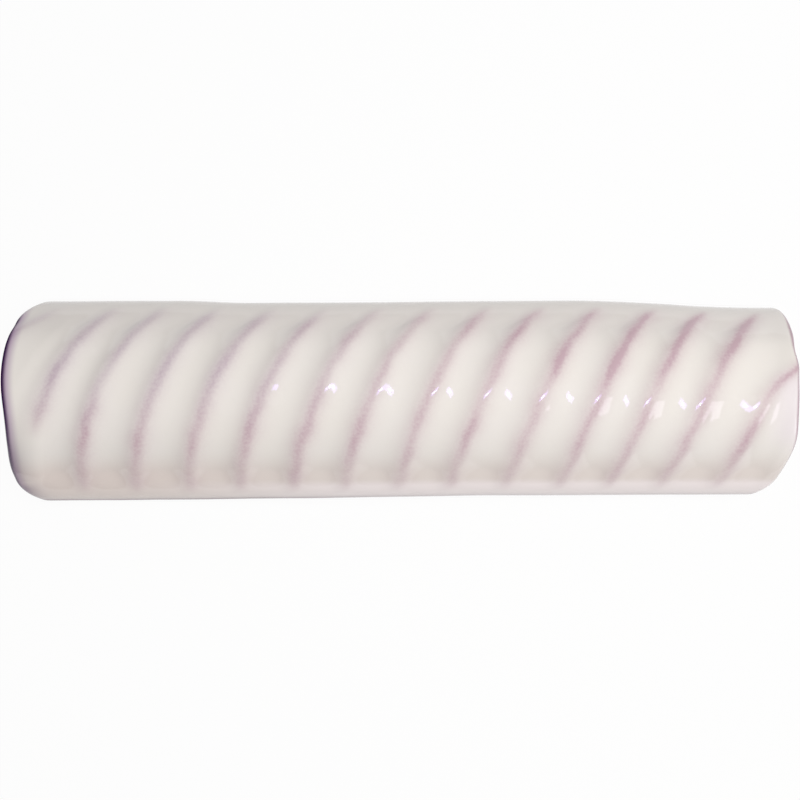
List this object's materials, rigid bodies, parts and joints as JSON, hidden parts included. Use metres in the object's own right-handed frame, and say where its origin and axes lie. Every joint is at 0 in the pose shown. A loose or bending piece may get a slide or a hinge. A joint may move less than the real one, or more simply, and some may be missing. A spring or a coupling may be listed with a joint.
{
  "type": "rope liner tile",
  "caption": "Half-round trim tile with a twisted rope face, plain shoulders along both long edges and a flat back for bedding on a wall.",
  "frame": {"origin": "in the plane of the flat back, midway along the longer side and midway across the tile", "axes": "+X along the tile, +Y across it towards the longer side, +Z out of the rope face, away from the wall"},
  "size_m": [0.1519, 0.04, 0.019],
  "materials": {
    "glaze": "glossy"
  },
  "bodies": {
    "root": {"liner_tile": "glaze"}
  },
  "joints": []
}
